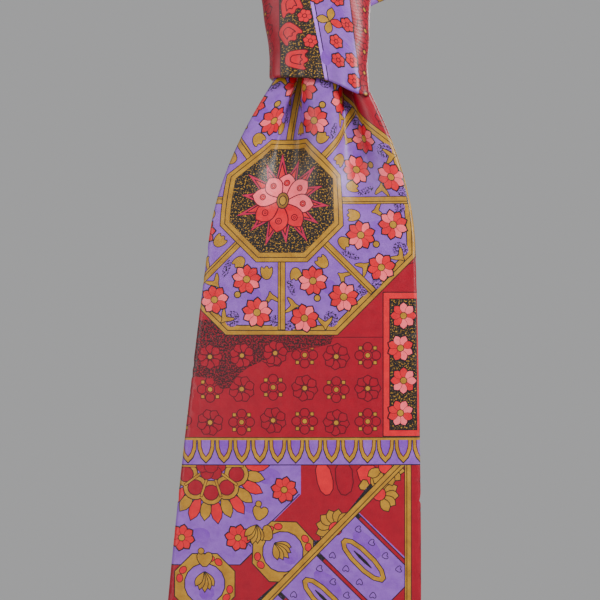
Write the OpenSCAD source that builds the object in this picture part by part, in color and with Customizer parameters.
// A silk necktie, tied in a four-in-hand knot and hanging as it is worn.
// +X is to the right seen from the front, +Y goes towards the wearer and +Z is up.
// The origin is the middle of the neck opening, level with the top of the knot.

/* [Front blade] */
// Length of the front blade, from the knot's mouth to its point
blade_len = 430; // [400:5:470]
// Width of the blade's shoulders, just above its point
blade_max_w = 108; // [96:1:112]
// Width of the flat, ungathered cloth where it enters the knot
throat_w = 70; // [66:1:74]
// Width that the cloth is gathered into at the knot's mouth
mouth_w = 37.4; // [34:0.2:38]
// Length over which the gathers open out
gather_len = 62; // [50:1:70]
// Thickness of the made-up blade
blade_t = 3.2; // [3.2:0.1:3.6]
// Distance from the mouth to the line where the blade folds up
blade_fold_at = 250; // [245:5:270]

/* [Knot] */
// Height of the knot
knot_h = 46; // [44:1:50]
// Width of the knot at its top
knot_w = 44; // [43:0.5:46]
// Width of the knot at its mouth
knot_mouth_w = 38.4; // [38.2:0.2:40]
// How far the top of the knot leans to the left
knot_lean = 3.4; // [2:0.2:3.6]
// How far the knot slides down the tail when the tie is loosened
knot_travel = 120; // [60:5:120]

/* [Neck band] */
// Width of the band round the neck and of the tail behind the knot
band_w = 28; // [26:0.5:29]
// Width that the band is gathered into inside the knot
band_gathered_w = 20; // [18:0.5:21]
// Thickness of the band and of the tail
band_t = 2.4; // [2.2:0.1:2.6]

/* [Tail] */
// Length of the tail below the knot's mouth
tail_len = 330; // [300:5:350]
// Width of the tail's shoulders
tail_max_w = 44; // [38:1:48]

/* [Cloth and sewing] */
// Thickness of the silk
silk_t = 0.5; // [0.4:0.05:0.55]
// Thickness of the tipping, the lining behind each point
tipping_t = 0.4; // [0.3:0.05:0.4]
// Depth of the silk hem round the back of each point
hem = 9; // [7:0.5:12]
// Diameter of the sewing thread
thread_d = 0.6; // [0.5:0.05:0.8]
// Distance between slip stitches
stitch_pitch = 9; // [7:0.5:12]
// Distance from the mouth to the top edge of the keeper
keeper_at = 222; // [216:1:226]

/* [Hidden] */

$fn = 24;
gap = 0.1;           // between layers of cloth in one body
fold_gap = 0.4;      // between bodies, at a fold
seam_gap = 1.2;      // between the two flaps that meet down a blade's back

// The layers of the knot from the front to the back
wrap_front_y = -98;
wrap_t = 3;
throat_y = wrap_front_y + wrap_t + fold_gap;
throat_t = 6.2;
turn_y = throat_y + throat_t + gap;
turn_t = 4.6;
tail_y = -83;
wrap_back_y = -76;
riser_t = 2.6;
blade_back_y = throat_y + blade_t;
tail_back_y = tail_y + band_t;

// Heights
mouth_z = -knot_h;
blade_top_z = mouth_z - fold_gap - gap;
blade_fold_z = mouth_z - blade_fold_at;
tail_fold_z = mouth_z - knot_travel - 9;
side_top_z = -18;    // the straps leave the knot above its side walls
turn_top_z = -30;    // and the live strap ends just above the first turn
hood_top_z = 6;
hood_w = 28;

// The points
tail_end_len = tail_fold_z - mouth_z + tail_len;
blade_shoulder = blade_len - blade_max_w / 2;
tail_shoulder = tail_end_len - tail_max_w / 2;
point_back = sqrt(2) - 1;    // how far an inset outline's shoulders move up

silk = [0.60, 0.16, 0.24];
silk_dark = [0.30, 0.10, 0.16];
lilac = [0.62, 0.52, 0.72];
wool = [0.86, 0.82, 0.72];
lining = [0.36, 0.08, 0.12];
thread = [0.78, 0.66, 0.34];
label_cloth = [0.20, 0.18, 0.20];

function mix(a, b, t) = a + (b - a) * t;
function smooth(t) = let (c = min(1, max(0, t))) c * c * (3 - 2 * c);
function unit(v) = v / norm(v);

// ------------------------------------------------------------------- flat outlines

// Half of the flat cloth's width at distance d below the mouth, a parabola that reaches
// its full width at the shoulders, and then the same with the gathers at the mouth
flare = 1.9;
gather = 1 - mouth_w / throat_w;
function flat_half(d) = let (t = max(0, d) / blade_shoulder)
    mix(throat_w, blade_max_w, t * (flare - (flare - 1) * t)) / 2;
blade_half = function (d) flat_half(d) * (1 - gather * pow(max(0, 1 - d / gather_len), 2));
tail_half = function (d) mix(band_w, tail_max_w, max(0, d) / tail_shoulder) / 2;

// The right side of a blade from d0 to d1. It runs to the point if d1 is past the
// shoulders. inset moves the side in.
function side(half, len, shoulder, d0, d1, inset, step = 9) =
    let (corner = shoulder - point_back * inset, last = min(d1, corner),
         n = ceil((last - d0) / step))
    concat([for (i = [0:n]) let (d = mix(d0, last, i / n)) [half(d) - inset, -d]],
           d1 > corner ? [[0, inset * sqrt(2) - len]] : []);

// A closed outline from its right side
function mirrored(right) = concat(right,
    [for (i = [len(right) - 1:-1:0]) if (right[i][0] > 0) [-right[i][0], right[i][1]]]);

function front_outline(d0, d1, inset) =
    mirrored(side(blade_half, blade_len, blade_shoulder, d0, d1, inset));
function tail_outline(d0, d1, inset) =
    mirrored(side(tail_half, tail_end_len, tail_shoulder, d0, d1, inset));

// The opening in the back of a point: an upside-down V from the bar tack, then a hem
function window(half, len, shoulder, tack, spread) = let (corner = shoulder - point_back * hem)
    mirrored([[seam_gap, -tack], [half(tack + spread) - hem, -tack - spread],
              [half(corner) - hem, -corner], [0, hem * sqrt(2) - len]]);

front_tack = blade_len - 118;
front_window = window(blade_half, blade_len, blade_shoulder, front_tack, 46);
tail_tack = tail_end_len - 66;
tail_window = window(tail_half, tail_end_len, tail_shoulder, tail_tack, 34);

// An upright slab with this outline, in X and Z, from y0 to y1
module slab(outline, y0, y1, top_z = 0) {
    translate([0, y1, top_z]) rotate([90, 0, 0]) linear_extrude(y1 - y0) polygon(outline);
}

// A folded silk tube with this outline, open along its back, and the cloth inside it
module silk_tube(outer, inner, y, t, top_z) {
    difference() {
        slab(outer, y, y + t, top_z);
        slab(inner, y + silk_t, y + t - silk_t, top_z);
    }
}

module back_slit(y, z0, z1) {
    translate([-seam_gap / 2, y - 2 * silk_t, z0]) cube([seam_gap, 4 * silk_t, z1 - z0]);
}

// Slanted stitches that draw the two flaps together, from z0 up to z1
module slip_stitches(y, z0, z1) {
    count = floor((z1 - z0) / stitch_pitch);
    for (i = [0:count - 1]) {
        translate([0, y + thread_d / 2, z0 + (i + 0.5) * stitch_pitch])
            rotate([0, 60, 0]) cylinder(d = thread_d, h = 6, center = true);
    }
}

module bar_tack(y, z) {
    rows = 3;
    for (i = [0:rows - 1]) {
        translate([0, y + thread_d / 2, z + i * 1.5 * thread_d])
            rotate([0, 90, 0]) cylinder(d = thread_d, h = 9, center = true);
    }
}

// -------------------------------------------------------------------- the neck band

// The middle of the band: out of the knot at the left, round behind the neck, back into
// the knot at the right and down behind the blade
band_route = [[0, -86, -40], [0, -86, -26], [-5, -86, -12], [-17, -84.5, 0],
    [-33, -77, 11], [-51, -56, 21], [-61, -24, 29], [-59, 14, 36], [-38, 49, 42],
    [0, 64, 45],
    [38, 49, 42], [59, 14, 36], [61, -24, 29], [51, -56, 21], [33, -76, 11],
    [17, -81, 0], [5, tail_y + band_t / 2, -12], [0, tail_y + band_t / 2, -26],
    [0, tail_y + band_t / 2, -40], [0, tail_y + band_t / 2, -60],
    [0, tail_y + band_t / 2, -110], [0, tail_y + band_t / 2, tail_fold_z + fold_gap / 2],
    [0, tail_y + band_t / 2, tail_fold_z - 40]];
live_seam = 5;       // the route's points at which the lengths of silk are joined
neck_seam = 13;
route_end = len(band_route) - 2;
route_steps = 4;

function curve(p0, p1, p2, p3, t) = 0.5 * (2 * p1 + (p2 - p0) * t
    + (2 * p0 - 5 * p1 + 4 * p2 - p3) * t * t + (3 * p1 - p0 - 3 * p2 + p3) * t * t * t);
function route_point(s) = let (i = max(1, min(route_end - 1, floor(s))))
    curve(band_route[i - 1], band_route[i], band_route[i + 1], band_route[i + 2], s - i);

// The band is gathered where it goes into the knot
gather_centre = [0, -84, -14];
gather_in = 8;
gather_out = 36;
function band_width(p) = mix(band_gathered_w, band_w,
    smooth((norm(p - gather_centre) - gather_in) / (gather_out - gather_in)));

// A ring of the band's section at s: its frame has the face's normal pointing away from
// the neck. inset thins the section, and face moves it off the band's inner face.
function ring(s, inset, side_inset = 0, face = 0, t = band_t) =
    let (p = route_point(s), ahead = route_point(s + 0.02) - route_point(s - 0.02),
         along = unit(ahead), across = unit(cross(along, [p[0], p[1], 0])),
         normal = cross(across, along),
         w = band_width(p) / 2 - inset - side_inset, h = t / 2 - inset, c = min(h, w) * 0.4)
    [for (k = [[w - c, h], [w, h - c], [w, c - h], [w - c, -h],
               [c - w, -h], [-w, c - h], [-w, h - c], [c - w, h]])
        p + across * k[0] + normal * (k[1] + face)];

function rings(s0, s1, inset) = [for (i = [0:(s1 - s0) * route_steps])
    ring(s0 + i / route_steps, inset)];

// Walls between each ring and the next, starting at point number first
function walls(count, sides, first, inward) = [for (i = [0:count - 2], j = [0:sides - 1])
    let (a = first + i * sides + j, b = first + i * sides + (j + 1) % sides)
    each inward ? [[b, a, b + sides], [a, a + sides, b + sides]]
                : [[a, b, b + sides], [a, b + sides, a + sides]]];

module sweep_solid(loops) {
    n = len(loops);
    m = len(loops[0]);
    polyhedron([for (l = loops, p = l) p],
        concat(walls(n, m, 0, false), [[for (j = [m - 1:-1:0]) j]],
               [[for (j = [0:m - 1]) (n - 1) * m + j]]));
}

module sweep_tube(outer, inner) {
    n = len(outer);
    m = len(outer[0]);
    far = (n - 1) * m;
    polyhedron(concat([for (l = outer, p = l) p], [for (l = inner, p = l) p]),
        concat(walls(n, m, 0, false), walls(n, m, n * m, true),
               [for (j = [0:m - 1]) let (k = (j + 1) % m) [k, j, n * m + j, n * m + k]],
               [for (j = [0:m - 1]) let (k = (j + 1) % m)
                   [far + j, far + k, n * m + far + k, n * m + far + j]]));
}

module band_shell(s0, s1) {
    sweep_tube(rings(s0, s1, 0), rings(s0, s1, silk_t));
}

module live_strap_shell() {
    color(silk) band_shell(1, live_seam);
}

module neck_piece_shell() {
    color(silk_dark) band_shell(live_seam, neck_seam);
}

module tail_strap_shell() {
    color(silk) band_shell(neck_seam, route_end);
}

module neck_interlining() {
    color(wool) sweep_solid(rings(1, route_end, silk_t + gap));
}

// Each seam's allowance, pressed flat against the band's inner face
module piecing_seams() {
    allowance_t = 0.6;
    side_inset = 1.5;
    twist_room = 0.6;      // the band twists between one ring and the next
    face = -(band_t + allowance_t) / 2 - twist_room;
    for (s = [live_seam, neck_seam]) {
        color(silk_dark) sweep_solid([for (d = [-1:1])
            ring(s + d / route_steps, 0, side_inset, face, allowance_t)]);
    }
}

// ------------------------------------------------------------------------- the knot

function knot_left(z) = mix(-knot_mouth_w / 2, -knot_w / 2 - knot_lean, 1 + z / knot_h);
function knot_right(z) = mix(knot_mouth_w / 2, knot_w / 2 - knot_lean, 1 + z / knot_h);
function knot_outline(z0, z1, inset) = [[knot_left(z0) + inset, z0],
    [knot_right(z0) - inset, z0], [knot_right(z1) - inset, z1], [knot_left(z1) + inset, z1]];

// The turn that shows: it goes across the front and round behind the tail
module knot_wrap() {
    color(lilac) difference() {
        union() {
            slab(knot_outline(mouth_z, 0, 0), wrap_front_y, wrap_front_y + wrap_t);
            slab(knot_outline(mouth_z, side_top_z, 0), wrap_front_y + wrap_t / 2, wrap_back_y);
            slab(knot_outline(mouth_z, 0, 0), wrap_back_y - wrap_t, wrap_back_y);
        }
        slab(knot_outline(mouth_z - 1, 1, wrap_t), wrap_front_y + wrap_t, wrap_back_y - wrap_t);
    }
}

// Where the cloth comes over the top and turns down into the knot
module knot_hood() {
    color(lilac) translate([-knot_lean - hood_w / 2, throat_y, -4])
        cube([hood_w, throat_t, hood_top_z + 4]);
}

// The first turn over the tail, under the turn that shows
module knot_first_turn() {
    color(silk_dark) slab(knot_outline(mouth_z + 1, turn_top_z, wrap_t + gap),
        turn_y, turn_y + turn_t);
}

// Where the cloth goes up behind the knot to the neck opening
module knot_riser() {
    color(silk) translate([-knot_lean - hood_w / 2, wrap_back_y + gap, mouth_z + 4])
        cube([hood_w, riser_t, hood_top_z - mouth_z - 4]);
}

module throat_shell() {
    color(silk) silk_tube(knot_outline(mouth_z, -4 - gap, wrap_t + gap),
        knot_outline(mouth_z - 1, -4 - gap - silk_t, wrap_t + gap + silk_t),
        throat_y, throat_t, 0);
}

module throat_interlining() {
    inset = wrap_t + silk_t + 2 * gap;
    color(wool) slab(knot_outline(mouth_z, -4 - silk_t - 2 * gap, inset),
        throat_y + silk_t + gap, throat_y + throat_t - silk_t - gap);
}

// ------------------------------------------------------------------ the front blade

module front_blade_shell() {
    top = mouth_z - blade_top_z;
    bottom = blade_fold_at - fold_gap / 2;
    color(silk) difference() {
        silk_tube(front_outline(top, bottom, 0), front_outline(top - 1, bottom + 1, silk_t),
            throat_y, blade_t, mouth_z);
        back_slit(blade_back_y, blade_fold_z - 1, mouth_z);
    }
}

module front_blade_interlining() {
    color(wool) slab(front_outline(mouth_z - blade_top_z, blade_fold_at - fold_gap / 2,
        silk_t + gap), throat_y + silk_t + gap, blade_back_y - silk_t - gap, mouth_z);
}

module front_slip_stitch() {
    color(thread) slip_stitches(blade_back_y, mouth_z - keeper_at + 2, blade_top_z - 4);
}

// The loop across the back that holds the tail: a band that stands off the blade
keeper_w = 40;
keeper_h = 11;
keeper_room = 5.1;
keeper_wall = 0.6;
keeper_foot = 5;
keeper_z = mouth_z - keeper_at - keeper_h;
module keeper_loop() {
    color(lining) difference() {
        union() {
            translate([-keeper_w / 2, blade_back_y, keeper_z])
                cube([keeper_w, keeper_room + keeper_wall, keeper_h]);
            translate([-keeper_w / 2 - keeper_foot, blade_back_y, keeper_z])
                cube([keeper_w + 2 * keeper_foot, keeper_wall, keeper_h]);
        }
        translate([-keeper_w / 2 + keeper_wall, blade_back_y - 1, keeper_z - 1])
            cube([keeper_w - 2 * keeper_wall, keeper_room + 1, keeper_h + 2]);
    }
}

module keeper_tacks() {
    for (x = [-1, 1]) {
        color(thread) translate([x * (keeper_w + keeper_foot) / 2,
            blade_back_y + keeper_wall + thread_d / 2, keeper_z + 1])
            cylinder(d = thread_d, h = keeper_h - 2);
    }
}

module front_tip_shell() {
    top = blade_fold_at + fold_gap / 2;
    color(silk) difference() {
        silk_tube(front_outline(top, blade_len, 0), front_outline(top - 1, blade_len, silk_t),
            throat_y, blade_t, mouth_z);
        slab(front_window, blade_back_y - 2 * silk_t, blade_back_y + 1, mouth_z);
        back_slit(blade_back_y, mouth_z - front_tack - 1, blade_fold_z + 1);
    }
}

module front_tip_interlining() {
    color(wool) slab(front_outline(blade_fold_at + fold_gap / 2, blade_len, silk_t + gap),
        throat_y + silk_t + gap, blade_back_y - silk_t - tipping_t - 2 * gap, mouth_z);
}

// Room is left at the tipping's edge where it is turned under the hem
module front_tipping() {
    color(lining) slab(front_outline(front_tack - 12, blade_len, hem / 2),
        blade_back_y - silk_t - tipping_t - gap, blade_back_y - silk_t - gap, mouth_z);
}

module front_tip_slip_stitch() {
    color(thread) slip_stitches(blade_back_y, mouth_z - front_tack + 4, blade_fold_z - 2);
}

module front_bar_tack() {
    color(thread) bar_tack(blade_back_y, mouth_z - front_tack + 1);
}

// A plain woven label, sewn to the tipping
module maker_label() {
    label_w = 44;
    label_h = 20;
    color(label_cloth) translate([-label_w / 2, blade_back_y - silk_t - gap,
        mouth_z - front_tack - 62]) cube([label_w, 0.4, label_h]);
}

// ------------------------------------------------------------------------- the tail

module tail_end_shell() {
    top = fold_gap / 2;
    color(silk) difference() {
        silk_tube(tail_outline(top, tail_end_len, 0), tail_outline(top - 1, tail_end_len, silk_t),
            tail_y, band_t, tail_fold_z);
        slab(tail_window, tail_back_y - 2 * silk_t, tail_back_y + 1, tail_fold_z);
        back_slit(tail_back_y, tail_fold_z - tail_tack - 1, tail_fold_z + 1);
    }
}

module tail_end_interlining() {
    color(wool) slab(tail_outline(fold_gap / 2, tail_end_len, silk_t + gap),
        tail_y + silk_t + gap, tail_back_y - silk_t - tipping_t - 2 * gap, tail_fold_z);
}

module tail_tipping() {
    color(lining) slab(tail_outline(tail_tack - 8, tail_end_len, hem / 2),
        tail_back_y - silk_t - tipping_t - gap, tail_back_y - silk_t - gap, tail_fold_z);
}

module tail_slip_stitch() {
    color(thread) slip_stitches(tail_back_y, tail_fold_z - tail_tack + 4, tail_fold_z - 4);
}

module tail_bar_tack() {
    color(thread) bar_tack(tail_back_y, tail_fold_z - tail_tack + 1);
}

// A loop of spare thread at the end of the slip stitch lets the seam give
module stitch_reserve_loop() {
    loop_r = 3;
    color(thread) translate([0, tail_back_y - silk_t - gap + thread_d / 2,
        tail_fold_z - tail_tack - loop_r - 4]) rotate([90, 0, 0])
        rotate_extrude() translate([loop_r, 0]) circle(d = thread_d);
}

// A plain tape with the washing symbols left off, sewn over the seam
module care_label() {
    color(wool) translate([-8, tail_back_y + thread_d + gap, tail_fold_z - tail_tack + 12])
        cube([16, 0.4, 26]);
}

neck_piece_shell();
live_strap_shell();
tail_strap_shell();
piecing_seams();
neck_interlining();
knot_wrap();
knot_hood();
knot_first_turn();
knot_riser();
throat_shell();
throat_interlining();
front_blade_shell();
front_blade_interlining();
front_slip_stitch();
keeper_loop();
keeper_tacks();
front_tip_shell();
front_tip_interlining();
front_tip_slip_stitch();
front_bar_tack();
front_tipping();
maker_label();
tail_end_shell();
tail_end_interlining();
tail_slip_stitch();
tail_bar_tack();
tail_tipping();
stitch_reserve_loop();
care_label();
